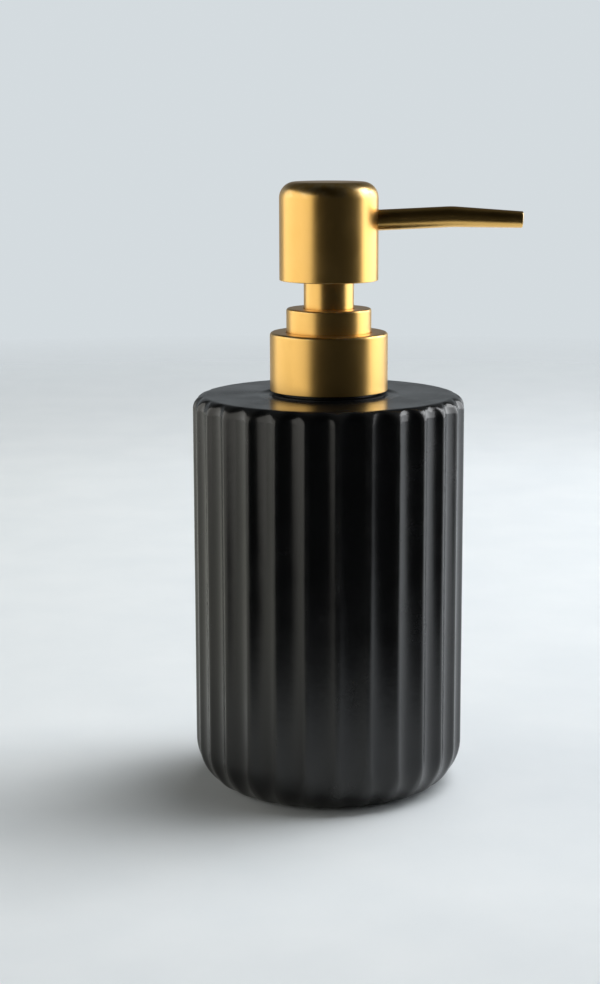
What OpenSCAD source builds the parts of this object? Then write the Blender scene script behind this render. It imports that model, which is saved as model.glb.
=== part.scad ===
// Fluted ceramic bottle with a screw-on metal-clad lotion pump.
// The origin is the centre of the foot; +Z is up and the spout points along +X.
// The pump is drawn at the top of its stroke with its collar screwed down.

/* [Bottle] */
// Outer radius of the bottle, over the crests between the flutes
bottle_r = 36.5; // [34:0.5:39]
// Height of the flat shoulder
shoulder_z = 106.4; // [95:0.2:125]
// Rounding of the shoulder's rim
rim_round = 3.65; // [2:0.05:4]
// Radius of the foot, where the bottom corner meets the surface
foot_r = 26.3; // [25:0.1:29]
// Height at which the bottom corner starts
corner_z = 12.4; // [11.5:0.1:13]
// Wall between the bottom of a flute and the inside
wall = 3.5; // [3:0.1:5]
// Thickness of the shoulder
shoulder_t = 4.5; // [4:0.1:6]
// Thickness of the floor over the foot recess
floor_t = 5; // [4:0.1:7]
// Depth of the recess inside the foot
foot_recess = 1.2; // [0.6:0.1:2]

/* [Flutes] */
// Number of flutes
flute_count = 28; // [24:1:30]
// Radius of a flute's hollow
flute_r = 7.2; // [6.8:0.1:7.6]
// Depth of a flute below the crests
flute_depth = 1.14; // [0.8:0.02:1.3]
// Turn of the first crest from +X, in degrees
flute_turn = 3.56; // [0:0.01:12]

/* [Neck and collar] */
// Outer radius of the collar
collar_r = 15.7; // [15.5:0.1:16.5]
// Bottom of the collar
collar_z = 107.5; // [107:0.1:107.8]
// Top of the collar
collar_top_z = 123.1; // [123:0.1:124]
// Thickness of the collar's metal
collar_t = 0.6; // [0.5:0.1:0.8]
// Radius of the neck under its thread
neck_r = 12.6; // [12.4:0.05:12.7]
// Radius over the crest of the neck's thread
thread_r = 13.7; // [13.5:0.05:13.75]
// Bore of the neck
neck_bore_r = 10.75; // [10.4:0.05:10.9]
// Rise of the thread in one turn, six turns to the inch
thread_pitch = 4.233; // [4.233]
// Turns of thread
thread_turns = 1.25; // [1:0.05:1.4]

/* [Pump] */
// Outer radius of the stepped ring on the collar
ring_r = 11.3; // [11.1:0.1:11.4]
// Top of the stepped ring
ring_top_z = 129.4; // [128.5:0.1:130]
// Outer radius of the sleeve that slides in the ring
sleeve_r = 6.65; // [6.5:0.05:6.7]
// Bore of the pump's chamber
chamber_r = 6; // [5.8:0.1:6.1]
// Radius of the chamber's outer wall
chamber_outer_r = 7.6; // [7.4:0.1:8]
// Radius of the pump's stem
stem_r = 4; // [3.9:0.05:4.1]
// Bore of the stem
stem_bore_r = 1.6; // [1.4:0.05:1.65]
// Radius of the dip tube
dip_r = 3.25; // [3:0.05:3.5]
// Bore of the dip tube
dip_bore_r = 2.3; // [2:0.1:2.5]
// Height of the dip tube's open end
dip_end_z = 8; // [7:0.5:12]

/* [Head] */
// Outer radius of the head
head_r = 13.1; // [13:0.05:13.4]
// Bottom of the head's skirt
head_z = 136.75; // [136.5:0.05:138]
// Top of the head
head_top_z = 162.6; // [162:0.1:164]
// Rounding of the head's top edge
head_round = 4.2; // [3:0.1:4.4]
// Thickness of the head's metal
head_t = 0.8; // [0.6:0.1:0.9]

/* [Spout] */
// Height of the spout's centre line where it leaves the head
spout_z = 152.55; // [152:0.05:153]
// Outer radius of the spout up to its bend
spout_r = 2.74; // [2.5:0.02:2.8]
// Outer radius of the spout's open end
spout_tip_r = 2.17; // [2:0.01:2.4]
// Thickness of the spout's metal
spout_t = 0.5; // [0.4:0.05:0.6]
// Distance from the axis to the spout's bend
bend_x = 32.4; // [28:0.2:36]
// Distance from the axis to the spout's open end
tip_x = 51.1; // [48:0.1:56]
// Rise of the spout up to the bend, in degrees
spout_rise = 2.7; // [1:0.1:4]
// Fall of the spout past the bend, in degrees
spout_fall = 2.4; // [1:0.1:4]

/* [Hidden] */
$fn = 96;
eps = 0.01;

// Colours of the materials
glaze = "#1d1e20";
gold = "#c9983f";
black_plastic = "#232427";
white_plastic = "#ecebe6";
clear_plastic = "#d9dfe2";
foam = "#f5f3ee";
silicone = "#c8c8c6";
steel = "#a9adb2";
marble = "#8fb0bf";

// Bottle
mouth_r = 13.6;
seat_r = 15.3;
seat_z = shoulder_z - 1.2;
cavity_r = bottle_r - flute_depth - wall;
cavity_bottom_round = 9;
cavity_top_round = 6;
recess_r = 20;
// The bottom corner is a wide arc out of the wall and a tighter one into the foot, which meet at 45 degrees
corner_w = bottle_r - foot_r;
arc_gap = (corner_z - corner_w) / (sqrt(2) - 1);
foot_arc_r = corner_z - arc_gap / sqrt(2);
wall_arc_r = foot_arc_r + arc_gap;
// The floor of a flute turns under the bottle on an arc of its own, and runs out of the surface at the foot
flute_floor_r = bottle_r - flute_depth;
flute_arc_r = 11.65;
flute_arc_z = 11.05;
// At the rim it turns inwards higher up than the rim itself does, and so runs out of the surface
flute_rim_lift = 0.5;
flute_rim_z = shoulder_z - rim_round + flute_rim_lift;

// Neck insert
flange_r = 15.1;
flange_z = shoulder_z - 0.8;
flange_top_z = shoulder_z + 0.2;
plug_r = 13;
plug_z = shoulder_z - 9.4;
rib_r = 13.4;
rib_h = 0.8;
neck_top_z = 119;
thread_z = 109.6;
thread_steps = 48;
male_root_half = 1.2;
male_crest_half = 0.7;
female_root_half = 1;
female_crest_half = 0.5;
female_drop = 1.75;
female_start_turns = 0.25;
female_crest_r = 12.95;
liner_bore_r = 14;
lead_turns = 0.125;

// Collar
collar_round = 0.8;
liner_r = collar_r - collar_t;
liner_z = collar_z + 0.1;
liner_top_z = collar_top_z - collar_t;
liner_plate_z = liner_top_z - 0.9;
collar_hole_r = ring_r + 0.2;

// Pump housing, from its flange down
gasket_z = neck_top_z + 0.05;
gasket_top_z = 120.2;
gasket_r = 13.2;
housing_flange_r = 12.9;
housing_top_z = 121.5;
cup_r = 9.9;
cup_bore_r = 8.6;
snap_r = 8.8;
snap_z = 116;
snap_h = 1;
step_z = 110.7;
step_cone = 2;
chamber_z = 64.5;
ball_room_r = 3.3;
lower_seat_z = 57.2;
lower_seat_r = 1.6;
socket_top_z = 55.5;
socket_z = 44.5;
socket_outer_r = 4.6;
tail_cone_z = 61;
vent_z = 106.5;
vent_r = 0.6;

// Stem guide under the ring
ring_t = 0.5;
ring_round = 0.6;
ring_hole_r = sleeve_r + 0.25;
guide_bore_r = sleeve_r + 0.07;
lip_t = 1.5;
lip_bore_r = stem_r + 0.08;

// Check balls: each rests on a cone that opens at 45 degrees
lower_ball_r = 2.5;
upper_ball_r = 2.4;
ball_gap = 0.03;
ball_lift = 1.5;
function ball_z(seat_z, seat_r, r) = seat_z - seat_r + r * sqrt(2) + ball_gap;
lower_ball_z = ball_z(lower_seat_z, lower_seat_r, lower_ball_r);
retainer_r = chamber_r - 0.05;
retainer_t = 1.5;
retainer_top_z = chamber_z + retainer_t;
retainer_post_r = 3.9;
retainer_post_h = 3;
retainer_post_bore_r = 3.2;
retainer_port_r = 0.9;
retainer_port_at = 2.2;
stop_r = 0.9;
stop_gap = 0.14;

// Spring
wire_r = 0.45;
wire_sides = 8;
spring_r = 4.6;
spring_turns = 9.5;
spring_end_turns = 0.8;
spring_steps = 20;
spring_z = retainer_top_z + 0.02;

// Piston and stem
piston_z = 102.6;
piston_top_z = 110.6;
piston_r = chamber_r - 0.04;
piston_waist_r = 5.3;
piston_bore_r = 3.65;
lip_h = 1.4;
stem_seat_r = 3.6;
stem_z = 96;
stem_collar_z = 100.6;
stem_collar_top_z = 102.5;
stem_collar_r = 5.2;
stem_shoulder_z = 110.65;
stem_top_z = 146.5;
upper_seat_drop = 1;
upper_seat_z = stem_top_z - upper_seat_drop;
upper_ball_z = ball_z(upper_seat_z, stem_bore_r, upper_ball_r);

// Head
sleeve_t = 0.5;
sleeve_z = 124.5;
core_z = 142.2;
hub_z = sleeve_z + 0.4;
core_r = head_r - head_t;
core_top_z = head_top_z - head_t;
core_round = head_round - head_t;
valve_room_r = 3;
valve_room_top_z = 155.5;

// Spout
spout_start_x = 6;
liner_start_x = 4.5;
liner_bore = 1.5;
liner_tip_bore = 1.1;
liner_end_x = tip_x - 1;
bend_z = spout_z + (bend_x - head_r) * tan(spout_rise);

// A ring with a plain bore
module ring(outer, bore, from, to) {
    difference() {
        translate([0, 0, from]) cylinder(r = outer, h = to - from);
        translate([0, 0, from - 1]) cylinder(r = bore, h = to - from + 2);
    }
}

// A solid disc or post
module disc(r, from, to) {
    translate([0, 0, from]) cylinder(r = r, h = to - from);
}

// A cone frustum
module cone(r_from, r_to, from, to) {
    translate([0, 0, from]) cylinder(r1 = r_from, r2 = r_to, h = to - from);
}

// Half section of a round body whose bottom and top edges are rounded
module rounded_section(r, from, to, bottom_round, top_round) {
    translate([0, from + bottom_round]) square([r, to - from - bottom_round - top_round]);
    if (bottom_round > 0) {
        translate([0, from]) square([r - bottom_round, bottom_round]);
        translate([r - bottom_round, from + bottom_round]) intersection() {
            circle(r = bottom_round);
            translate([0, -bottom_round]) square(bottom_round);
        }
    }
    if (top_round > 0) {
        translate([0, to - top_round]) square([r - top_round, top_round]);
        translate([r - top_round, to - top_round]) intersection() {
            circle(r = top_round);
            square(top_round);
        }
    }
}

// Pie slice of a circle from one angle to a larger one, less than half a turn apart
module slice(r, from, to) {
    reach = 2 * r;
    intersection() {
        circle(r = r);
        polygon([[0, 0], [reach * cos(from), reach * sin(from)], [reach * cos(to), reach * sin(to)]]);
    }
}

// Half section of the bottle's outside, before the flutes
module bottle_section() {
    foot_centre = [foot_r, foot_arc_r];
    wall_centre = [bottle_r - wall_arc_r, corner_z];
    inside_corner = foot_centre + (foot_arc_r - 1) * [cos(45), -sin(45)];
    rounded_section(bottle_r, corner_z - eps, shoulder_z, 0, rim_round);
    polygon([[0, 0], [foot_r, 0], inside_corner, [bottle_r - 1, corner_z], [0, corner_z]]);
    translate(wall_centre) slice(wall_arc_r, -45, 0);
    translate(foot_centre) slice(foot_arc_r, -90, -44);
}

// A bent rod that cuts a flute round an edge: its inner side lies on an arc about a level axis
module flute_bend(arc_r, centre_z, from, to) {
    translate([flute_floor_r - arc_r, 0, centre_z])
        rotate([90, 0, 0]) rotate([0, 0, from])
            rotate_extrude(angle = to - from) translate([arc_r + flute_r, 0]) circle(r = flute_r);
}

// What one flute takes out: it runs down the wall and round the bottom corner, and fades out at both ends
module flute() {
    translate([flute_floor_r + flute_r, 0, flute_arc_z]) cylinder(r = flute_r, h = flute_rim_z - flute_arc_z);
    flute_bend(rim_round, flute_rim_z, 0, 80);
    flute_bend(flute_arc_r, flute_arc_z, -92, 0);
}

module bottle() {
    color(glaze) difference() {
        rotate_extrude() bottle_section();
        for (i = [0 : flute_count - 1])
            rotate([0, 0, flute_turn + (i + 0.5) * 360 / flute_count]) flute();
        rotate_extrude()
            rounded_section(cavity_r, foot_recess + floor_t, shoulder_z - shoulder_t,
                cavity_bottom_round, cavity_top_round);
        disc(mouth_r, shoulder_z - shoulder_t - 1, shoulder_z + 1);
        disc(seat_r, seat_z, shoulder_z + 1);
        disc(recess_r, -1, foot_recess);
    }
}

// Points of a ridge's cross-section at one turn of its helix: a trapezoid from the root to the crest
function ridge_ring(a, z, root, crest, root_half, crest_half) = [
    [root * cos(a), root * sin(a), z - root_half],
    [crest * cos(a), crest * sin(a), z - crest_half],
    [crest * cos(a), crest * sin(a), z + crest_half],
    [root * cos(a), root * sin(a), z + root_half]
];

// Faces of a tube swept through rings of the same number of points, closed at both ends
function sweep_faces(rings, sides) = concat(
    [[for (j = [0 : sides - 1]) j]],
    [for (i = [0 : rings - 2], j = [0 : sides - 1])
        [i * sides + j, (i + 1) * sides + j, (i + 1) * sides + (j + 1) % sides, i * sides + (j + 1) % sides]],
    [[for (j = [sides - 1 : -1 : 0]) (rings - 1) * sides + j]]
);

// A right-hand thread ridge that fades in and out over its lead turns
module thread_ridge(z_start, root, crest, root_half, crest_half, mirrored) {
    steps = round(thread_turns * thread_steps);
    points = [
        for (i = [0 : steps])
            let (
                turns = i / thread_steps,
                fade = min(1, turns / lead_turns, (thread_turns - turns) / lead_turns),
                tip = root + (crest - root) * max(fade, 0.08)
            )
            each ridge_ring(turns * 360, z_start + turns * thread_pitch, root, tip, root_half, crest_half)
    ];
    faces = sweep_faces(steps + 1, 4);
    polyhedron(points, mirrored ? faces : [for (f = faces) [for (k = [len(f) - 1 : -1 : 0]) f[k]]], 4);
}

// Plastic neck bonded into the bottle's mouth, with the closure's thread round it
module neck_insert() {
    color(black_plastic) {
        difference() {
            union() {
                disc(neck_r, flange_top_z - eps, neck_top_z);
                disc(flange_r, flange_z, flange_top_z);
                disc(plug_r, plug_z, flange_z + eps);
                disc(rib_r, plug_z + 1, plug_z + 1 + rib_h);
                disc(rib_r, plug_z + 3, plug_z + 3 + rib_h);
            }
            disc(neck_bore_r, plug_z - 1, neck_top_z + 1);
        }
        thread_ridge(thread_z, neck_r - 0.3, thread_r, male_root_half, male_crest_half, false);
    }
}

// Cured silicone that bonds the insert to the mouth and its seat
module insert_bond() {
    color(silicone) union() {
        ring(mouth_r, plug_r, shoulder_z - shoulder_t, seat_z + eps);
        ring(flange_r, plug_r, seat_z, flange_z);
    }
}

// Metal skirt of the collar
module collar_shell() {
    color(gold) difference() {
        rotate_extrude() rounded_section(collar_r, collar_z, collar_top_z, 0, collar_round);
        disc(liner_r, collar_z - 1, liner_top_z);
        disc(collar_hole_r, collar_z, collar_top_z + 1);
    }
}

// Threaded closure inside the collar; its plate presses the pump's flange onto the gasket
module collar_liner() {
    color(white_plastic) {
        ring(liner_r, liner_bore_r, liner_z, liner_plate_z + eps);
        ring(liner_r, collar_hole_r, liner_plate_z, liner_top_z);
        rotate([0, 0, 360 * female_start_turns])
            thread_ridge(thread_z - female_drop + thread_pitch * female_start_turns, liner_bore_r + 0.3,
                female_crest_r, female_root_half, female_crest_half, true);
    }
}

module neck_gasket() {
    color(foam) ring(gasket_r, cup_r + 0.4, gasket_z, gasket_top_z);
}

// Cylinder that hangs in the neck: cup, chamber, lower valve seat and dip tube socket
module pump_housing() {
    color(white_plastic) difference() {
        union() {
            disc(housing_flange_r, gasket_top_z, housing_top_z);
            disc(cup_r, step_z, housing_top_z - eps);
            cone(chamber_outer_r, cup_r, step_z - step_cone, step_z);
            disc(chamber_outer_r, tail_cone_z, step_z - step_cone);
            cone(socket_outer_r, chamber_outer_r, socket_top_z, tail_cone_z);
            disc(socket_outer_r, socket_z, socket_top_z);
        }
        disc(cup_bore_r, step_z, housing_top_z + 1);
        disc(snap_r, snap_z, snap_z + snap_h);
        disc(chamber_r, chamber_z, step_z + 1);
        disc(ball_room_r, lower_seat_z + ball_room_r - lower_seat_r, chamber_z + 1);
        cone(lower_seat_r, ball_room_r, lower_seat_z, lower_seat_z + ball_room_r - lower_seat_r);
        disc(lower_seat_r, socket_top_z - 1, lower_seat_z + eps);
        disc(dip_r, socket_z - 1, socket_top_z);
        translate([0, 0, vent_z]) rotate([0, 90, 0]) cylinder(r = vent_r, h = chamber_outer_r + 1);
    }
}

// Retainer snapped into the housing: it guides the sleeve and the stem and stops the piston
module chaplet() {
    color(white_plastic) difference() {
        union() {
            disc(ring_r - ring_t, housing_top_z, ring_top_z - ring_t);
            disc(cup_bore_r, step_z, housing_top_z + eps);
            disc(snap_r, snap_z, snap_z + snap_h);
        }
        disc(guide_bore_r, step_z + lip_t, ring_top_z + 1);
        disc(lip_bore_r, step_z - 1, step_z + lip_t + 1);
    }
}

// Metal cover of the retainer, the step above the collar
module ring_cover() {
    color(gold) difference() {
        rotate_extrude() rounded_section(ring_r, housing_top_z, ring_top_z, 0, ring_round);
        disc(ring_r - ring_t, housing_top_z - 1, ring_top_z - ring_t);
        disc(ring_hole_r, housing_top_z, ring_top_z + 1);
    }
}

// Seat of the spring, which keeps the lower ball in its room and lets liquid past
module ball_retainer() {
    color(white_plastic) difference() {
        union() {
            disc(retainer_r, chamber_z, retainer_top_z);
            ring(retainer_post_r, retainer_post_bore_r, retainer_top_z - eps,
                retainer_top_z + retainer_post_h);
            disc(stop_r, lower_ball_z + lower_ball_r + ball_lift + stop_gap, chamber_z + eps);
        }
        for (a = [45 : 90 : 315])
            rotate([0, 0, a]) translate([retainer_port_at, 0, chamber_z - 1])
                cylinder(r = retainer_port_r, h = retainer_t + 2);
    }
}

// Tube down to the floor of the bottle, cut on a slant so that the floor can't close it
module dip_tube() {
    color(clear_plastic) difference() {
        ring(dip_r, dip_bore_r, dip_end_z, socket_top_z);
        translate([-dip_r - 1, -10, dip_end_z - 10])
            rotate([0, 35, 0]) translate([0, 0, -10]) cube([20, 20, 20]);
    }
}

// Height along the spring, in turns: closed end coils and an even pitch between them
function spring_rise(turns) =
    let (
        closed = 2 * wire_r + 0.04,
        active = spring_turns - 2 * spring_end_turns,
        length = stem_collar_z - spring_z - 2 * wire_r - 0.04,
        pitch = (length - 2 * spring_end_turns * closed) / active
    )
    turns < spring_end_turns ? turns * closed
    : turns < spring_end_turns + active ? spring_end_turns * closed + (turns - spring_end_turns) * pitch
    : length - (spring_turns - turns) * closed;

module return_spring() {
    count = round(spring_turns * spring_steps);
    points = [
        for (i = [0 : count])
            let (turns = i / spring_steps, a = turns * 360, z = spring_z + wire_r + spring_rise(turns))
            for (j = [0 : wire_sides - 1])
                let (b = j * 360 / wire_sides + 22.5, r = spring_r + wire_r * cos(b))
                [r * cos(a), r * sin(a), z + wire_r * sin(b)]
    ];
    color(steel) polyhedron(points, sweep_faces(count + 1, wire_sides), 4);
}

module lower_ball() {
    color(marble) translate([0, 0, lower_ball_z]) sphere(r = lower_ball_r);
}

// Piston with a sealing lip at each end, free to turn on the stem
module piston_seal() {
    color(clear_plastic) difference() {
        union() {
            disc(piston_r, piston_z, piston_z + lip_h);
            disc(piston_waist_r, piston_z, piston_top_z);
            disc(piston_r, piston_top_z - lip_h, piston_top_z);
        }
        disc(piston_bore_r, piston_z - 1, piston_top_z + 1);
    }
}

// Hollow rod with the spring collar below the piston and the upper valve seat at its top
module stem() {
    color(white_plastic) difference() {
        union() {
            disc(stem_seat_r, stem_z, stem_shoulder_z + eps);
            disc(stem_collar_r, stem_collar_z, stem_collar_top_z);
            disc(stem_r, stem_shoulder_z, stem_top_z);
        }
        disc(stem_bore_r, stem_z - 1, stem_top_z);
        cone(stem_bore_r, stem_bore_r + upper_seat_drop, upper_seat_z, stem_top_z);
    }
}

// Metal sleeve seen between the ring and the head
module neck_sleeve() {
    color(gold) ring(sleeve_r, sleeve_r - sleeve_t, sleeve_z, core_z);
}

// Puts the origin of its children at the spout's bend, with their +Z along the run that leads up to the bend
module on_first_run() {
    translate([bend_x, 0, bend_z]) rotate([0, 90 - spout_rise, 0]) children();
}

// The same, with +Z along the run from the bend to the open end
module on_second_run() {
    translate([bend_x, 0, bend_z]) rotate([0, 90 + spout_fall, 0]) children();
}

// A rod along the spout's line from one distance to another, straight to the bend and tapered past it
module spout_rod(r, tip_r, from_x, to_x) {
    on_first_run() translate([0, 0, from_x - bend_x]) cylinder(r = r, h = bend_x - from_x);
    on_second_run() cylinder(r1 = r, r2 = tip_r, h = to_x - bend_x);
    translate([bend_x, 0, bend_z]) sphere(r = r);
}

// Plastic core of the head: stem socket, upper valve room and the passage to the spout
module head_core() {
    color(white_plastic) difference() {
        union() {
            rotate_extrude() rounded_section(core_r, core_z, core_top_z, 0, core_round);
            disc(sleeve_r - sleeve_t, hub_z, core_z + eps);
        }
        disc(stem_r, hub_z - 1, stem_top_z);
        difference() {
            disc(valve_room_r, stem_top_z - eps, valve_room_top_z);
            disc(stop_r, upper_ball_z + upper_ball_r + ball_lift + stop_gap, valve_room_top_z + 1);
        }
        on_first_run() translate([0, 0, -bend_x]) cylinder(r = liner_bore, h = bend_x);
        on_first_run() translate([0, 0, -(bend_x - liner_start_x)])
            cylinder(r = spout_r - spout_t, h = bend_x);
        on_first_run() translate([0, 0, -(bend_x - spout_start_x)]) cylinder(r = spout_r, h = bend_x);
    }
}

// Metal cap of the head, with the hole that the spout comes out of
module head_shell() {
    color(gold) difference() {
        rotate_extrude() rounded_section(head_r, head_z, head_top_z, 0, head_round);
        rotate_extrude() rounded_section(core_r, head_z - 1, core_top_z, 0, core_round);
        on_first_run() translate([0, 0, -(bend_x - spout_start_x)]) cylinder(r = spout_r, h = bend_x);
    }
}

// Metal spout, bent down a little at the middle and drawn thinner towards its open end
module spout_tube() {
    color(gold) difference() {
        spout_rod(spout_r, spout_tip_r, spout_start_x, tip_x);
        spout_rod(spout_r - spout_t, spout_tip_r - spout_t, spout_start_x - 1, tip_x + 1);
    }
}

// Plastic tube inside the spout, which the soap runs through
module spout_liner() {
    color(clear_plastic) difference() {
        spout_rod(spout_r - spout_t, spout_tip_r - spout_t, liner_start_x, liner_end_x);
        spout_rod(liner_bore, liner_tip_bore, liner_start_x - 1, liner_end_x + 1);
    }
}

module upper_ball() {
    color(steel) translate([0, 0, upper_ball_z]) sphere(r = upper_ball_r);
}

bottle();
neck_insert();
insert_bond();
collar_shell();
collar_liner();
neck_gasket();
pump_housing();
chaplet();
ring_cover();
ball_retainer();
dip_tube();
return_spring();
lower_ball();
piston_seal();
stem();
neck_sleeve();
head_core();
head_shell();
spout_tube();
spout_liner();
upper_ball();
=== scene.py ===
"""Looks of the fluted soap pump dispenser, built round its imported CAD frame.

Everything is in metres in the part's own frame: the origin is the centre of the foot, +Z is up and
the spout points along +X.
"""
import math

import bmesh
import bpy
import numpy as np
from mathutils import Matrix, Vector


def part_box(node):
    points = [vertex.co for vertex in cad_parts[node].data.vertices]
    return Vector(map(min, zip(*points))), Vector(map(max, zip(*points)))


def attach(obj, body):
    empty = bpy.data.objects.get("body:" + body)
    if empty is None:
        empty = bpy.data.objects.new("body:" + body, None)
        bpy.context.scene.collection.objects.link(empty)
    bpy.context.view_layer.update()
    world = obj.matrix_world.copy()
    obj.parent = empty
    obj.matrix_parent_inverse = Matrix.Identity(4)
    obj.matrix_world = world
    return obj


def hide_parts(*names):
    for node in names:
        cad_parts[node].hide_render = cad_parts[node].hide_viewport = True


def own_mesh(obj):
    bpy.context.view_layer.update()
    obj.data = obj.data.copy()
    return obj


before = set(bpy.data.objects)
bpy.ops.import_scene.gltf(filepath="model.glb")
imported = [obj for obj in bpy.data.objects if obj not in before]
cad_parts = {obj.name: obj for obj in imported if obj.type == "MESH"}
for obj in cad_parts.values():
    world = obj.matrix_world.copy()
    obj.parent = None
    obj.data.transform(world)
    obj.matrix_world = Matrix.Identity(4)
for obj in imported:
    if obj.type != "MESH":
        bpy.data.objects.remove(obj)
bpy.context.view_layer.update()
scene = bpy.context.scene
MM = 0.001


# ---------------------------------------------------------------- camera and stage

CAMERA_DISTANCE = 0.539
CAMERA_HEIGHT = 0.1797
CAMERA_PITCH = math.radians(10.51)
CAMERA_LENS = 74.3
SENSOR = 36.0
CAMERA_SHIFT = -0.0293
CLIP_START = 0.01
CLIP_END = 20

# The floor is solid up to FLOOR_SOLID from the origin and gone beyond FLOOR_FADED. The one in reflections
# also fades out in front, between two places along Y that shift with X by FLOOR_FRONT_SLANT.
FLOOR_REACH = 3.0
FLOOR_SOLID = 0.50
FLOOR_FADED = 1.15
FLOOR_FRONT_SOLID = -0.10
FLOOR_FRONT_FADED = -0.19
FLOOR_FRONT_SLANT = 0.3
MIRRORED_FLOOR_RISE = 0.0001
BACKDROP_COLOUR = (0.66, 0.71, 0.74, 1)
ROOM_COLOUR = (0.72, 0.78, 0.82, 1)
DAYLIGHT_WARM = (1.0, 0.975, 0.90)
DAYLIGHT_COOL = (0.96, 0.98, 1.0)
DAYLIGHT_PLAIN = (0.97, 0.985, 1.0)


def make_camera():
    data = bpy.data.cameras.new("camera")
    data.lens = CAMERA_LENS
    data.sensor_width = SENSOR
    data.shift_x = CAMERA_SHIFT
    data.clip_start = CLIP_START
    data.clip_end = CLIP_END
    camera = bpy.data.objects.new("camera", data)
    camera.location = (0, -CAMERA_DISTANCE, CAMERA_HEIGHT)
    camera.rotation_euler = (math.pi / 2 - CAMERA_PITCH, 0, 0)
    scene.collection.objects.link(camera)
    scene.camera = camera


def make_softbox(name, location, look_at, width, height, watts, colour, mirrored=True):
    """Rectangular light; without mirrored it lights matte surfaces only and shows in no reflection."""
    data = bpy.data.lights.new(name, "AREA")
    data.shape = "RECTANGLE"
    data.size = width
    data.size_y = height
    data.energy = watts
    data.color = colour
    light = bpy.data.objects.new(name, data)
    light.location = location
    direction = Vector(look_at) - Vector(location)
    light.rotation_euler = direction.to_track_quat("-Z", "Y").to_euler()
    light.visible_camera = False
    light.visible_glossy = mirrored
    scene.collection.objects.link(light)


# ---------------------------------------------------------------- node helpers


class Shader:
    """One material's node tree, with short calls for the nodes that the materials share."""

    def __init__(self, name):
        self.material = bpy.data.materials.new(name)
        self.material.use_nodes = True
        self.tree = self.material.node_tree
        self.tree.nodes.clear()
        self.output = self.node("ShaderNodeOutputMaterial")
        self.surface = self.node("ShaderNodeBsdfPrincipled")
        self.link(self.surface.outputs[0], self.output.inputs["Surface"])
        self.place = self.node("ShaderNodeTexCoord").outputs["Object"]

    def node(self, kind, **settings):
        made = self.tree.nodes.new(kind)
        for key, value in settings.items():
            setattr(made, key, value)
        return made

    def link(self, source, target):
        self.tree.links.new(source, target)

    def put(self, socket, value):
        """Links value if it is a socket, and sets it if it is a number or a colour."""
        if isinstance(value, bpy.types.NodeSocket):
            self.link(value, socket)
        elif value is not None:
            socket.default_value = value

    def stretched(self, scale):
        """Object coordinates scaled by axis; marks made with them run along the axes with small numbers."""
        mapping = self.node("ShaderNodeMapping")
        self.link(self.place, mapping.inputs["Vector"])
        mapping.inputs["Scale"].default_value = scale
        return mapping.outputs[0]

    def noise(self, scale, detail=3.0, roughness=0.5, vector=None, distortion=0.0):
        made = self.node("ShaderNodeTexNoise")
        self.link(vector or self.place, made.inputs["Vector"])
        made.inputs["Scale"].default_value = scale
        made.inputs["Detail"].default_value = detail
        made.inputs["Roughness"].default_value = roughness
        made.inputs["Distortion"].default_value = distortion
        return made.outputs["Fac"]

    def cells(self, scale):
        made = self.node("ShaderNodeTexVoronoi")
        self.link(self.place, made.inputs["Vector"])
        made.inputs["Scale"].default_value = scale
        return made.outputs["Distance"]

    def fit(self, value, low, high, to_low, to_high):
        """Carries the range low to high over to the range to_low to to_high."""
        made = self.node("ShaderNodeMapRange")
        self.put(made.inputs["Value"], value)
        made.inputs["From Min"].default_value = low
        made.inputs["From Max"].default_value = high
        made.inputs["To Min"].default_value = to_low
        made.inputs["To Max"].default_value = to_high
        return made.outputs["Result"]

    def math(self, operation, a, b=None):
        made = self.node("ShaderNodeMath", operation=operation)
        self.put(made.inputs[0], a)
        self.put(made.inputs[1], b)
        return made.outputs[0]

    def mix(self, factor, a, b):
        made = self.node("ShaderNodeMix", data_type="RGBA")
        self.put(made.inputs["Factor"], factor)
        self.put(made.inputs[6], a)
        self.put(made.inputs[7], b)
        return made.outputs[2]

    def mark(self, name):
        """A value painted on the mesh's points when it was made, such as how near an edge they are."""
        return self.node("ShaderNodeAttribute", attribute_name=name).outputs["Fac"]

    def bump(self, height, distance, below=None):
        """Dents of the given depth in metres, on top of those of an earlier bump if below is one."""
        made = self.node("ShaderNodeBump")
        made.inputs["Strength"].default_value = 1.0
        made.inputs["Distance"].default_value = distance
        self.link(height, made.inputs["Height"])
        if below is not None:
            self.link(below, made.inputs["Normal"])
        return made.outputs[0]

    def set(self, **values):
        names = {"colour": "Base Color", "roughness": "Roughness", "metallic": "Metallic", "normal": "Normal",
                 "ior": "IOR", "transmission": "Transmission Weight", "subsurface": "Subsurface Weight",
                 "subsurface_scale": "Subsurface Scale"}
        for key, value in values.items():
            self.put(self.surface.inputs[names[key]], value)
        return self.material


# ---------------------------------------------------------------- materials


GLAZE_DEEP = (0.0012, 0.0013, 0.0015, 1)
GLAZE_CLOUDED = (0.0030, 0.0031, 0.0034, 1)
GLAZE_ON_CREST = (0.0180, 0.0178, 0.0170, 1)
GLAZE_IOR = 1.47
GOLD_DEEP = (0.77, 0.465, 0.135, 1)
GOLD_BRIGHT = (0.83, 0.515, 0.165, 1)
GOLD_WORN = (0.90, 0.66, 0.32, 1)
TURNED_LINES = (60, 60, 5200)
DRAWN_LINES = (260, 2600, 2600)
FLOOR_DULL = (0.775, 0.81, 0.83, 1)
FLOOR_BRIGHT = (0.815, 0.845, 0.86, 1)
# Painted light: the floor copy that only reflections see is lighter than the real floor, warm on the left and
# cool on the right, like the windows' light.
MIRRORED_FLOOR_PAINTED_WARM_LEFT = (0.95, 0.95, 0.84, 1)
MIRRORED_FLOOR_PAINTED_COOL_RIGHT = (0.90, 0.94, 0.97, 1)


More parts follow.
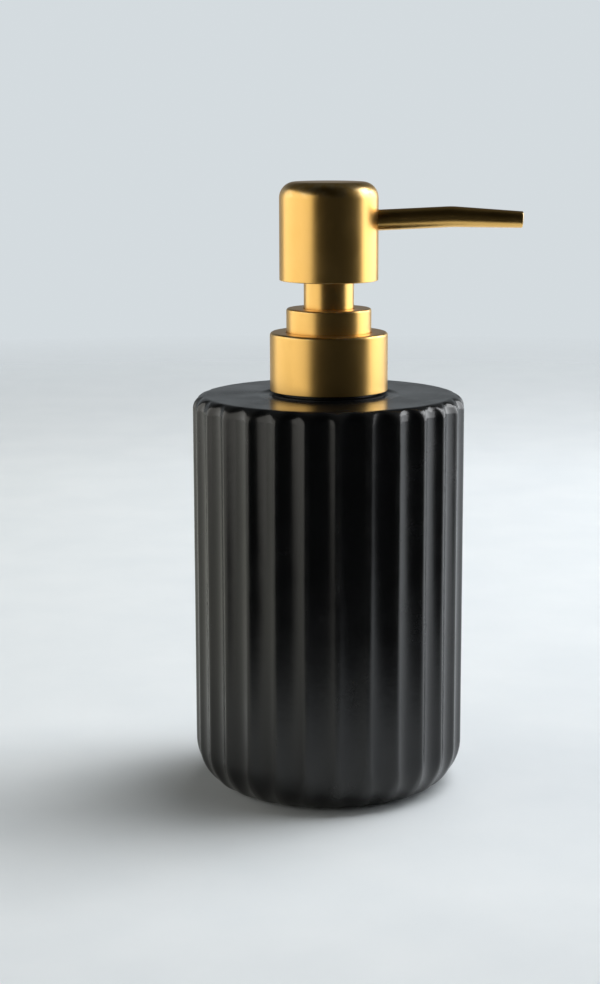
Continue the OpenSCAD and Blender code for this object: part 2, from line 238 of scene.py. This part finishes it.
def glaze():
    """Satin black glaze: faint clouding, orange peel, a few pinholes, thinner and greyer over the crests."""
    s = Shader("satin_black_glaze")
    cloud = s.noise(55, detail=4)
    thin = s.math("MULTIPLY", s.mark("crest"), s.fit(s.noise(140), 0.35, 0.7, 0.25, 1.0))
    body = s.mix(s.fit(cloud, 0.3, 0.7, 0, 1), GLAZE_DEEP, GLAZE_CLOUDED)
    colour = s.mix(thin, body, GLAZE_ON_CREST)
    pits = s.fit(s.cells(420), 0.035, 0.06, 0.0, 1.0)
    sparse = s.fit(s.noise(230, detail=1), 0.60, 0.66, 1.0, 0.0)
    pinhole = s.math("MAXIMUM", pits, sparse)
    broad = s.fit(s.noise(90, detail=5), 0.3, 0.7, 0.18, 0.28)
    fine = s.fit(s.noise(2600), 0, 1, -0.025, 0.025)
    roughness = s.math("ADD", broad, fine)
    peel = s.bump(s.noise(520, detail=2), 0.018 * MM)
    grain = s.bump(s.noise(3800, detail=2), 0.0025 * MM, below=peel)
    dents = s.bump(pinhole, 0.03 * MM, below=grain)
    return s.set(colour=colour, roughness=roughness, normal=dents, ior=GLAZE_IOR)


def bisque():
    """Bare fired clay where the foot was wiped clean of glaze."""
    s = Shader("bare_foot_clay")
    grain = s.noise(1500, detail=5, roughness=0.65)
    colour = s.mix(s.fit(grain, 0.3, 0.7, 0, 1), (0.33, 0.30, 0.26, 1), (0.52, 0.48, 0.42, 1))
    return s.set(colour=colour, roughness=s.fit(grain, 0.2, 0.8, 0.75, 0.92), normal=s.bump(grain, 0.06 * MM))


def gold(name, turned=True):
    """Satin gold plating with soft smudges, worn pale on the edges. Its fine marks run round the axis where
    it was turned, and along the spout where it was drawn."""
    s = Shader(name)
    lines = s.noise(1.0, detail=1, vector=s.stretched(TURNED_LINES if turned else DRAWN_LINES))
    smudge = s.noise(75, detail=5, roughness=0.6, distortion=0.4)
    worn = s.math("MULTIPLY", s.mark("edge"), s.fit(s.noise(420, detail=4), 0.42, 0.62, 0.0, 0.85))
    tone = s.mix(s.fit(smudge, 0.3, 0.7, 0, 1), GOLD_DEEP, GOLD_BRIGHT)
    colour = s.mix(worn, tone, GOLD_WORN)
    fine = s.fit(lines, 0.2, 0.8, -0.004, 0.004)
    roughness = s.math("ADD", s.fit(smudge, 0.3, 0.75, 0.28, 0.34), fine)
    ripple = s.bump(s.noise(160, detail=1), 0.006 * MM)
    marks = s.bump(lines, 0.0002 * MM, below=ripple)
    return s.set(colour=colour, roughness=roughness, metallic=1.0, normal=marks)


def moulded(name, low, high, roughness=(0.38, 0.50), **extra):
    """Moulded plastic: slight flow clouding and the fine texture of the tool."""
    s = Shader(name)
    flow = s.noise(130, detail=3, distortion=0.8)
    colour = s.mix(s.fit(flow, 0.3, 0.7, 0, 1), low, high)
    skin = s.noise(4200, detail=3)
    texture = s.bump(skin, 0.003 * MM)
    return s.set(colour=colour, roughness=s.fit(skin, 0.2, 0.8, *roughness), normal=texture, **extra)


def foam():
    """Closed-cell foam of the gasket, pitted where the cells were cut."""
    s = Shader("closed_cell_foam")
    cells = s.cells(3200)
    colour = s.mix(s.fit(cells, 0, 0.6, 0, 1), (0.80, 0.79, 0.75, 1), (0.92, 0.91, 0.88, 1))
    return s.set(colour=colour, roughness=s.fit(cells, 0, 0.6, 0.9, 0.7), normal=s.bump(cells, 0.05 * MM))


def silicone():
    """Cured silicone, slightly lumpy and uneven in tone."""
    s = Shader("cured_silicone")
    beads = s.noise(700, detail=2)
    colour = s.mix(beads, (0.48, 0.48, 0.47, 1), (0.62, 0.62, 0.60, 1))
    return s.set(colour=colour, roughness=s.fit(beads, 0.2, 0.8, 0.45, 0.6), normal=s.bump(beads, 0.05 * MM))


def drawn_steel():
    """Drawn stainless wire with faint die lines and a film of wear."""
    s = Shader("drawn_steel")
    lines = s.noise(2600, detail=4)
    colour = s.mix(s.fit(lines, 0.3, 0.7, 0, 1), (0.50, 0.51, 0.53, 1), (0.62, 0.63, 0.64, 1))
    return s.set(colour=colour, roughness=s.fit(lines, 0.2, 0.8, 0.20, 0.34), metallic=1.0,
                 normal=s.bump(lines, 0.002 * MM))


def ground_glass():
    """Clear glass ball with a faintly ground face."""
    s = Shader("ground_glass_ball")
    frost = s.noise(3000, detail=4)
    colour = s.mix(frost, (0.70, 0.83, 0.86, 1), (0.84, 0.93, 0.95, 1))
    return s.set(colour=colour, roughness=s.fit(frost, 0.2, 0.8, 0.06, 0.18), transmission=0.9, ior=1.5)


def pale_floor(name, mirrored):
    """Pale matte surface that fades out with distance, and the mirrored one also in front of the bottle."""
    s = Shader(name)
    split = s.node("ShaderNodeSeparateXYZ")
    s.link(s.place, split.inputs[0])
    across, along = split.outputs["X"], split.outputs["Y"]
    mottle = s.noise(30, detail=4)
    colour = s.mix(s.fit(mottle, 0.3, 0.7, 0, 1), FLOOR_DULL, FLOOR_BRIGHT)
    if mirrored:
        # Painted light for the reflections: lighter and warm to the left, cool to the right.
        colour = s.mix(s.fit(across, -0.20, 0.05, 0.0, 1.0), MIRRORED_FLOOR_PAINTED_WARM_LEFT, MIRRORED_FLOOR_PAINTED_COOL_RIGHT)
    s.set(colour=colour, roughness=s.fit(mottle, 0.3, 0.7, 0.5, 0.6), normal=s.bump(s.noise(900), 0.01 * MM))
    distance = s.node("ShaderNodeVectorMath", operation="LENGTH")
    s.link(s.place, distance.inputs[0])
    fade = s.fit(distance.outputs["Value"], FLOOR_SOLID, FLOOR_FADED, 0.0, 1.0)
    if mirrored:
        slant = s.math("MULTIPLY", s.math("MAXIMUM", across, 0.0), FLOOR_FRONT_SLANT)
        front = s.fit(s.math("SUBTRACT", along, slant), FLOOR_FRONT_SOLID, FLOOR_FRONT_FADED, 0.0, 1.0)
        fade = s.math("MAXIMUM", fade, front)
    clear = s.node("ShaderNodeBsdfTransparent")
    blend = s.node("ShaderNodeMixShader")
    s.link(fade, blend.inputs[0])
    s.link(s.surface.outputs[0], blend.inputs[1])
    s.link(clear.outputs[0], blend.inputs[2])
    s.link(blend.outputs[0], s.output.inputs["Surface"])
    return s.material


# ---------------------------------------------------------------- mesh helpers


def fillet(corners, steps=7):
    """Half section through corners (r, z, rounding), with each rounding turned into an arc.
    Returns its points and a mark for each: 1 in the middle of an outward rounding, 0 on the flats."""
    points, marks = [], []
    count = len(corners)
    for i, (r, z, rounding) in enumerate(corners):
        here = Vector((r, z))
        back = (Vector(corners[i - 1][:2]) - here).normalized()
        ahead = (Vector(corners[(i + 1) % count][:2]) - here).normalized()
        if rounding <= 0:
            points.append(here)
            marks.append(0.0)
            continue
        half = back.angle(ahead) / 2
        centre = here + (back + ahead).normalized() * (rounding / math.sin(half))
        start = here + back * (rounding / math.tan(half)) - centre
        end = here + ahead * (rounding / math.tan(half)) - centre
        sweep = start.angle_signed(end)
        for k in range(steps + 1):
            turn = -sweep * k / steps
            c, s = math.cos(turn), math.sin(turn)
            points.append(centre + Vector((start.x * c - start.y * s, start.x * s + start.y * c)))
            marks.append(math.sin(math.pi * k / steps))
    return points, marks


def finish_mesh(name, bm, materials, body, replaced):
    """Turns a bmesh into a piece that rides on a body and stands for CAD nodes."""
    bmesh.ops.remove_doubles(bm, verts=bm.verts, dist=1e-7)
    bmesh.ops.recalc_face_normals(bm, faces=bm.faces)
    mesh = bpy.data.meshes.new(name)
    bm.to_mesh(mesh)
    bm.free()
    for polygon in mesh.polygons:
        polygon.use_smooth = True
    for material in materials:
        mesh.materials.append(material)
    piece = bpy.data.objects.new(name, mesh)
    scene.collection.objects.link(piece)
    weighted = piece.modifiers.new("even_shading", "WEIGHTED_NORMAL")
    weighted.keep_sharp = True
    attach(piece, body)
    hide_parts(*replaced)
    return piece


def lathe(corners, around=160, steps=7):
    """Closed solid of revolution from the corners of its half section."""
    points, marks = fillet(corners, steps)
    bm = bmesh.new()
    layer = bm.verts.layers.float.new("edge")
    rings = []
    for (r, z), value in zip(points, marks):
        if r < 1e-7:
            vert = bm.verts.new((0, 0, z))
            vert[layer] = value
            rings.append([vert] * around)
            continue
        ring = []
        for k in range(around):
            a = 2 * math.pi * k / around
            vert = bm.verts.new((r * math.cos(a), r * math.sin(a), z))
            vert[layer] = value
            ring.append(vert)
        rings.append(ring)
    for i, ring in enumerate(rings):
        above = rings[(i + 1) % len(rings)]
        for k in range(around):
            quad = [ring[k], ring[(k + 1) % around], above[(k + 1) % around], above[k]]
            unique = list(dict.fromkeys(quad))
            if len(unique) > 2:
                bm.faces.new(unique)
    return bm


def wire(path, radius, around):
    """Round wire along path, with a flat cap on each end."""
    bm = bmesh.new()
    count = len(path)
    rings = []
    for i, point in enumerate(path):
        along = (path[min(i + 1, count - 1)] - path[max(i - 1, 0)]).normalized()
        side = along.cross(Vector((0, 0, 1))).normalized()
        up = side.cross(along).normalized()
        ring = []
        for k in range(around):
            a = 2 * math.pi * k / around
            ring.append(bm.verts.new(point + (side * math.cos(a) + up * math.sin(a)) * radius))
        rings.append(ring)
    for ring, above in zip(rings, rings[1:]):
        for k in range(around):
            bm.faces.new([ring[k], ring[(k + 1) % around], above[(k + 1) % around], above[k]])
    bm.faces.new(rings[0][::-1])
    bm.faces.new(rings[-1])
    return bm


# ---------------------------------------------------------------- bottle

FLUTES = 28
FLUTE_TURN = math.radians(3.56)
FLUTE_RADIUS = 7.2 * MM
FLUTE_DEPTH = 1.14 * MM
FLUTE_ARC = 11.65 * MM
FLUTE_ARC_Z = 11.05 * MM
FLUTE_RIM_LIFT = 0.5 * MM
CREST_SOFTNESS = 0.3 * MM
RIM_ROUND = 3.65 * MM
FOOT_RADIUS = 26.3 * MM
CORNER_HEIGHT = 12.4 * MM
RECESS_RADIUS = 20 * MM
RECESS_DEPTH = 1.2 * MM
WALL = 3.5 * MM
FLOOR_THICKNESS = 5 * MM
SHOULDER_THICKNESS = 4.5 * MM
MOUTH_RADIUS = 13.6 * MM
SEAT_RADIUS = 15.3 * MM
SEAT_DEPTH = 1.2 * MM
RECESS_LIP = 1.0 * MM
BARE_FOOT_HEIGHT = 0.7 * MM
BARE_FOOT_MARGIN = 0.1 * MM
STEPS_PER_FLUTE = 20


def arc_points(centre, radius, start, end, steps):
    """Points and outward directions along an arc in the half section, angles in degrees."""
    for k in range(steps + 1):
        a = math.radians(start + (end - start) * k / steps)
        out = (math.cos(a), math.sin(a))
        yield (centre[0] + radius * out[0], centre[1] + radius * out[1]), out


def line_points(start, end, out, steps):
    """Points along a line in the half section, all with the same outward direction."""
    for k in range(steps + 1):
        t = k / steps
        yield (start[0] + (end[0] - start[0]) * t, start[1] + (end[1] - start[1]) * t), out


def flute_depth(r, z, out, turn, radius, top):
    """How deep the flute centred on turn 0 cuts along the inward normal, at points of the plain body."""
    x, y = r * np.cos(turn), r * np.sin(turn)
    floor_r = radius - FLUTE_DEPTH
    rim_z = top - RIM_ROUND + FLUTE_RIM_LIFT
    px, pz = np.full_like(x, floor_r + FLUTE_RADIUS), np.full_like(x, z)
    if z > rim_z:
        centre, reach = (floor_r - RIM_ROUND, rim_z), RIM_ROUND + FLUTE_RADIUS
    elif z < FLUTE_ARC_Z:
        centre, reach = (floor_r - FLUTE_ARC, FLUTE_ARC_Z), FLUTE_ARC + FLUTE_RADIUS
    else:
        centre = None
    if centre:
        dx, dz = np.maximum(x - centre[0], 1e-9), np.full_like(x, z - centre[1])
        length = np.hypot(dx, dz)
        px, pz = centre[0] + dx / length * reach, centre[1] + dz / length * reach
    q = np.stack([x - px, y, z - pz])
    inward = np.stack([-out[0] * np.cos(turn), -out[0] * np.sin(turn), np.full_like(x, -out[1])])
    along = (q * inward).sum(0)
    inside = np.maximum(along**2 + FLUTE_RADIUS**2 - (q**2).sum(0), 0)
    return np.where(x > centre[0] if centre else True, np.sqrt(inside) - along, -FLUTE_DEPTH)


def bottle_outline(radius, top):
    """Points and outward directions of the plain body, from the recess's lip to the seat in the mouth."""
    corner_width = radius - FOOT_RADIUS
    gap = (CORNER_HEIGHT - corner_width) / (math.sqrt(2) - 1)
    foot_arc = CORNER_HEIGHT - gap / math.sqrt(2)
    wall_arc = foot_arc + gap
    down, up, side = (0, -1), (0, 1), (1, 0)
    rim = (radius - RIM_ROUND, top - RIM_ROUND)
    yield from line_points((RECESS_RADIUS + RECESS_LIP, 0), (FOOT_RADIUS, 0), down, 14)
    yield from arc_points((FOOT_RADIUS, foot_arc), foot_arc, -87, -45, 12)
    yield from arc_points((radius - wall_arc, CORNER_HEIGHT), wall_arc, -41, 0, 10)
    yield from line_points((radius, CORNER_HEIGHT + 2 * MM), (radius, rim[1] - 1.5 * MM), side, 12)
    yield from line_points((radius, rim[1] - 0.8 * MM), (radius, rim[1]), side, 1)
    yield from arc_points(rim, RIM_ROUND, 4, 90, 30)
    yield from line_points((rim[0] - 0.6 * MM, top), (SEAT_RADIUS + 0.8 * MM, top), up, 5)


def make_bottle():
    """Glazed shell: the fluted outside, the plain inside and the recess under the foot."""
    low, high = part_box("bottle")
    radius, top = high.x, high.z
    pitch = 2 * math.pi / FLUTES
    around = FLUTES * STEPS_PER_FLUTE
    turn = np.arange(around) * 2 * math.pi / around
    local = (turn / pitch) % 1.0 * pitch
    bm = bmesh.new()
    crest_layer = bm.verts.layers.float.new("crest")
    rings = []

    def add_ring(r, z, crest):
        ring = []
        for k in range(around):
            a = turn[k] + FLUTE_TURN
            vert = bm.verts.new((r[k] * math.cos(a), r[k] * math.sin(a), z[k]))
            vert[crest_layer] = crest[k]
            ring.append(vert)
        rings.append(ring)

    def plain_ring(r, z):
        add_ring(np.full(around, r), np.full(around, z), np.zeros(around))

    for (r, z), out in bottle_outline(radius, top):
        depth = np.zeros(around)
        soft = CREST_SOFTNESS * max(out[0], 0)
        for centre in (-pitch / 2, pitch / 2, 3 * pitch / 2):
            cut = flute_depth(r, z, out, local - centre, radius, top)
            depth += (cut + np.sqrt(cut**2 + soft**2)) / 2
        ring_r, ring_z = r - out[0] * depth, z - out[1] * depth
        ring_z = np.maximum(ring_z, low.z)
        share = np.clip(1 - depth / (0.45 * FLUTE_DEPTH), 0, 1) * max(out[0], 0.0)
        add_ring(ring_r, ring_z, share)

    inner_r = radius - FLUTE_DEPTH - WALL
    floor_z, roof_z = RECESS_DEPTH + FLOOR_THICKNESS, top - SHOULDER_THICKNESS
    inside, _ = fillet([
        (SEAT_RADIUS, top, 0.35 * MM),
        (SEAT_RADIUS, top - SEAT_DEPTH, 0.15 * MM),
        (MOUTH_RADIUS, top - SEAT_DEPTH, 0.15 * MM),
        (MOUTH_RADIUS, roof_z, 0.8 * MM),
        (inner_r, roof_z, 6 * MM),
        (inner_r, floor_z, 9 * MM),
        (0, floor_z, 0),
    ], steps=10)
    for r, z in inside[:-1]:
        plain_ring(r, z)
    centre_inside = bm.verts.new((0, 0, floor_z))
    under, _ = fillet([
        (0, RECESS_DEPTH, 0),
        (RECESS_RADIUS, RECESS_DEPTH, 0.6 * MM),
        (RECESS_RADIUS, 0, 0.5 * MM),
        (RECESS_RADIUS + RECESS_LIP, 0, 0),
    ], steps=6)
    outside_rings = rings[:]
    rings.clear()
    for r, z in under[1:-1]:
        plain_ring(r, z)
    centre_under = bm.verts.new((0, 0, RECESS_DEPTH))
    chain = rings + outside_rings

    def bridge(ring, above, material):
        for k in range(around):
            face = bm.faces.new([ring[k], ring[(k + 1) % around], above[(k + 1) % around], above[k]])
            face.material_index = material

    for ring, above in zip(chain, chain[1:]):
        low_down = max(v.co.z for v in ring + above) < BARE_FOOT_HEIGHT
        on_foot = low_down and ring[0].co.to_2d().length < FOOT_RADIUS + BARE_FOOT_MARGIN
        bridge(ring, above, 1 if on_foot else 0)
    for k in range(around):
        bm.faces.new([chain[-1][k], chain[-1][(k + 1) % around], centre_inside])
        bm.faces.new([chain[0][(k + 1) % around], chain[0][k], centre_under])
    finish_mesh("fluted_bottle", bm, [glaze(), bisque()], "bottle", ["bottle"])


# ---------------------------------------------------------------- gold metalwork

COLLAR_METAL = 0.6 * MM
HEAD_METAL = 0.8 * MM
RING_METAL = 0.5 * MM
SLEEVE_METAL = 0.5 * MM


def make_collar(material):
    low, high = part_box("collar_shell")
    r = high.x
    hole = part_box("ring_cover")[1].x + 0.2 * MM
    corners = [
        (r, low.z, 0.22 * MM), (r, high.z, 0.8 * MM), (hole, high.z, 0.2 * MM),
        (hole, high.z - COLLAR_METAL, 0.05 * MM), (r - COLLAR_METAL, high.z - COLLAR_METAL, 0.1 * MM),
        (r - COLLAR_METAL, low.z, 0.22 * MM),
    ]
    finish_mesh("collar_skirt", lathe(corners), [material], "collar", ["collar_shell"])


def make_ring(material):
    low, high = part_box("ring_cover")
    r = high.x
    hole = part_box("neck_sleeve")[1].x + 0.25 * MM
    corners = [
        (r, low.z, 0.1 * MM), (r, high.z, 0.6 * MM), (hole, high.z, 0.18 * MM),
        (hole, high.z - RING_METAL, 0.05 * MM), (r - RING_METAL, high.z - RING_METAL, 0.1 * MM),
        (r - RING_METAL, low.z, 0.1 * MM),
    ]
    finish_mesh("stepped_ring", lathe(corners), [material], "pump_core", ["ring_cover"])


def make_sleeve(material):
    low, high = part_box("neck_sleeve")
    r = high.x
    corners = [
        (r, low.z, 0.15 * MM), (r, high.z, 0.1 * MM),
        (r - SLEEVE_METAL, high.z, 0.1 * MM), (r - SLEEVE_METAL, low.z, 0.15 * MM),
    ]
    finish_mesh("stem_sleeve", lathe(corners, around=128), [material], "head", ["neck_sleeve"])


def make_head(material):
    low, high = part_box("head_shell")
    r = high.x
    corners = [
        (r, low.z, 0.25 * MM), (r, high.z, 4.2 * MM), (0, high.z, 0), (0, high.z - HEAD_METAL, 0),
        (r - HEAD_METAL, high.z - HEAD_METAL, 3.4 * MM), (r - HEAD_METAL, low.z, 0.25 * MM),
    ]
    shell = lathe(corners, around=192, steps=14)
    finish_mesh("press_head", shell, [material], "head", ["head_shell"])


# ---------------------------------------------------------------- spout

SPOUT_RADIUS = 2.74 * MM
SPOUT_TIP_RADIUS = 2.17 * MM
SPOUT_METAL = 0.5 * MM
SPOUT_RISE = math.radians(2.7)
SPOUT_FALL = math.radians(2.4)
SPOUT_BEND_X = 32.4 * MM
SPOUT_ROOT_Z = 152.55 * MM
SPOUT_BEND_REACH = 1.6 * MM


def spout_line(start_x, end_x):
    """Centreline of the spout from one distance to another: two straight runs with a short round bend."""
    head_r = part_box("head_shell")[1].x
    bend_z = SPOUT_ROOT_Z + (SPOUT_BEND_X - head_r) * math.tan(SPOUT_RISE)
    points = []
    stops = list(np.linspace(start_x, SPOUT_BEND_X - SPOUT_BEND_REACH, 8))
    stops += list(np.linspace(SPOUT_BEND_X - SPOUT_BEND_REACH, SPOUT_BEND_X + SPOUT_BEND_REACH, 13))[1:]
    stops += list(np.linspace(SPOUT_BEND_X + SPOUT_BEND_REACH, end_x, 10))[1:]
    for x in stops:
        t = min(max((x - SPOUT_BEND_X) / SPOUT_BEND_REACH, -1), 1)
        before = (x - SPOUT_BEND_X) * math.tan(SPOUT_RISE)
        after = -(x - SPOUT_BEND_X) * math.tan(SPOUT_FALL)
        if t <= -1:
            z = before
        elif t >= 1:
            z = after
        else:
            drop = SPOUT_BEND_REACH * (math.tan(SPOUT_RISE) + math.tan(SPOUT_FALL)) / 4
            z = before * (1 - t) / 2 + after * (1 + t) / 2 - drop * (1 - t * t)
        points.append(Vector((x, 0, bend_z + z)))
    return points


def spout_radius(x, end_x):
    """Outer radius, the same up to the bend and then drawn thinner to the tip."""
    share = min(max((x - SPOUT_BEND_X) / (end_x - SPOUT_BEND_X), 0), 1)
    return SPOUT_RADIUS + (SPOUT_TIP_RADIUS - SPOUT_RADIUS) * share


def make_spout(material):
    low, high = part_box("spout_tube")
    start_x, end_x = low.x, high.x
    line = spout_line(start_x + 0.3 * MM, end_x - 0.3 * MM)
    outer = [spout_radius(p.x, end_x) for p in line]
    along_tip = Vector((math.cos(SPOUT_FALL), 0, -math.sin(SPOUT_FALL)))
    rim_steps = 8
    mid = SPOUT_METAL / 2
    path, radii, marks = list(line), list(outer), [0.0] * len(line)
    tip, tip_r = line[-1], outer[-1] - mid
    for k in range(1, rim_steps):
        a = math.pi * k / rim_steps
        path.append(tip + along_tip * (mid * 0.8 * math.sin(a)))
        radii.append(tip_r + mid * math.cos(a))
        marks.append(math.sin(a))
    for p, r in zip(reversed(line), reversed(outer)):
        path.append(p)
        radii.append(r - SPOUT_METAL)
        marks.append(0.0)
    finish_mesh("spout", loop_tube(path, radii, marks), [material], "head", ["spout_tube"])


def loop_tube(path, radii, marks, around=56):
    """Tube wall whose section runs out along the outside and back along the bore."""
    bm = bmesh.new()
    layer = bm.verts.layers.float.new("edge")
    rings = []
    for i, point in enumerate(path):
        slope = -SPOUT_FALL if point.x > SPOUT_BEND_X else SPOUT_RISE
        near = (point.x - SPOUT_BEND_X) / SPOUT_BEND_REACH
        if abs(near) < 1:
            slope = SPOUT_RISE * (1 - near) / 2 - SPOUT_FALL * (1 + near) / 2
        up = Vector((-math.sin(slope), 0, math.cos(slope)))
        ring = []
        for k in range(around):
            a = 2 * math.pi * k / around
            across = Vector((0, math.cos(a), 0)) * radii[i]
            rise = up * (math.sin(a) * radii[i])
            vert = bm.verts.new(point + across + rise)
            vert[layer] = marks[i]
            ring.append(vert)
        rings.append(ring)
    for i in range(len(rings)):
        ring, above = rings[i], rings[(i + 1) % len(rings)]
        for k in range(around):
            bm.faces.new([ring[k], ring[(k + 1) % around], above[(k + 1) % around], above[k]])
    return bm


# ---------------------------------------------------------------- spring

WIRE_RADIUS = 0.45 * MM
WIRE_SHARE = 0.99  # the mesh wire's radius as a share of WIRE_RADIUS
WIRE_GAP = 0.04 * MM
WIRE_STEPS_PER_TURN = 40
SPRING_TURNS = 9.5
SPRING_END_TURNS = 0.8


def make_spring(material):
    low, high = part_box("return_spring")
    coil_r = high.x - WIRE_RADIUS
    length = high.z - low.z - 2 * WIRE_RADIUS
    closed = 2 * WIRE_RADIUS + WIRE_GAP
    active = SPRING_TURNS - 2 * SPRING_END_TURNS
    pitch = (length - 2 * SPRING_END_TURNS * closed) / active
    path = []
    for i in range(int(SPRING_TURNS * WIRE_STEPS_PER_TURN) + 1):
        turns = i / WIRE_STEPS_PER_TURN
        if turns < SPRING_END_TURNS:
            z = turns * closed
        elif turns < SPRING_END_TURNS + active:
            z = SPRING_END_TURNS * closed + (turns - SPRING_END_TURNS) * pitch
        else:
            z = length - (SPRING_TURNS - turns) * closed
        a = 2 * math.pi * turns
        path.append(Vector((coil_r * math.cos(a), coil_r * math.sin(a), low.z + WIRE_RADIUS + z)))
    bm = wire(path, WIRE_RADIUS * WIRE_SHARE, around=12)
    piece = finish_mesh("coil_spring", bm, [material], "pump_core", ["return_spring"])
    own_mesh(piece)


# ---------------------------------------------------------------- build

make_camera()
make_bottle()
turned_gold = gold("satin_gold_turned")
make_collar(turned_gold)
make_ring(turned_gold)
make_sleeve(turned_gold)
make_head(turned_gold)
make_spout(gold("satin_gold_drawn", turned=False))
steel = drawn_steel()
make_spring(steel)

white = moulded("white_polypropylene", (0.74, 0.73, 0.70, 1), (0.83, 0.82, 0.79, 1), subsurface=0.15,
                subsurface_scale=1.0 * MM)
natural = moulded("natural_polyethylene", (0.66, 0.71, 0.73, 1), (0.78, 0.82, 0.84, 1), transmission=0.55,
                  ior=1.5)
black = moulded("black_polypropylene", (0.008, 0.008, 0.009, 1), (0.014, 0.014, 0.015, 1))
for names, material in (
    (("neck_insert",), black),
    (("collar_liner", "pump_housing", "chaplet", "ball_retainer", "stem", "head_core"), white),
    (("dip_tube", "piston_seal", "spout_liner"), natural),
    (("neck_gasket",), foam()),
    (("insert_bond",), silicone()),
    (("upper_ball",), steel),
    (("lower_ball",), ground_glass()),
):
    for name in names:
        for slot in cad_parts[name].material_slots:
            slot.material = material


# ---------------------------------------------------------------- floor, backdrop and light


def make_floor(name, mirrored):
    """The floor is made twice: one that the camera sees, and one just above it that only reflections see."""
    bm = bmesh.new()
    bmesh.ops.create_circle(bm, cap_ends=True, segments=96, radius=FLOOR_REACH)
    mesh = bpy.data.meshes.new(name)
    bm.to_mesh(mesh)
    bm.free()
    mesh.materials.append(pale_floor(name, mirrored))
    floor = bpy.data.objects.new(name, mesh)
    # The copy in reflections carries painted window light in its colour: lighter, warm left and cool right.
    floor.location.z = MIRRORED_FLOOR_RISE if mirrored else 0
    floor.visible_glossy = mirrored
    floor.visible_camera = floor.visible_diffuse = floor.visible_shadow = not mirrored
    scene.collection.objects.link(floor)


def make_world():
    """Room light: bright low down, dim overhead and behind the camera; a plain pale backdrop to look at."""
    world = bpy.data.worlds.new("studio")
    scene.world = world
    world.use_nodes = True
    tree = world.node_tree
    tree.nodes.clear()
    new, link = tree.nodes.new, tree.links.new
    output = new("ShaderNodeOutputWorld")
    direction = new("ShaderNodeTexCoord")
    split = new("ShaderNodeSeparateXYZ")
    link(direction.outputs["Generated"], split.inputs[0])

    def ramp(value, low, high, to_low, to_high):
        node = new("ShaderNodeMapRange")
        link(value, node.inputs["Value"])
        node.interpolation_type = "SMOOTHSTEP"
        for socket, number in zip(("From Min", "From Max", "To Min", "To Max"), (low, high, to_low, to_high)):
            node.inputs[socket].default_value = number
        return node.outputs["Result"]

    height = ramp(split.outputs["Z"], low=0.05, high=0.55, to_low=1.0, to_high=0.15)
    depth = ramp(split.outputs["Y"], low=-0.25, high=0.45, to_low=0.03, to_high=0.42)
    both = new("ShaderNodeMath")
    both.operation = "MULTIPLY"
    link(height, both.inputs[0])
    link(depth, both.inputs[1])
    room = new("ShaderNodeBackground")
    room.inputs["Color"].default_value = ROOM_COLOUR
    link(both.outputs[0], room.inputs["Strength"])
    backdrop = new("ShaderNodeBackground")
    backdrop.inputs["Color"].default_value = BACKDROP_COLOUR
    seen = new("ShaderNodeLightPath")
    choose = new("ShaderNodeMixShader")
    link(seen.outputs["Is Camera Ray"], choose.inputs[0])
    link(room.outputs[0], choose.inputs[1])
    link(backdrop.outputs[0], choose.inputs[2])
    link(choose.outputs[0], output.inputs["Surface"])


make_floor("floor", mirrored=False)
make_floor("floor_in_reflections", mirrored=True)
make_world()
make_softbox("window_left", location=(-1.6, -0.4, 0.48), look_at=(0, -0.4, 0.48), width=3.36, height=1.6,
             watts=23, colour=DAYLIGHT_WARM)
make_softbox("window_right", location=(1.6, 0.96, 0.48), look_at=(0, 0.96, 0.42), width=2.32, height=1.12,
             watts=23.5, colour=DAYLIGHT_COOL)
make_softbox("skylight_right", location=(0.85, 0.35, 0.75), look_at=(0, 0, 0.12), width=0.55, height=0.4,
             watts=3.6, colour=DAYLIGHT_PLAIN)
make_softbox("ceiling", location=(0.45, 0.25, 1.3), look_at=(0, 0.1, 0), width=0.9, height=0.9,
             watts=13.5, colour=DAYLIGHT_PLAIN, mirrored=False)
scene.view_settings.view_transform = "Standard"
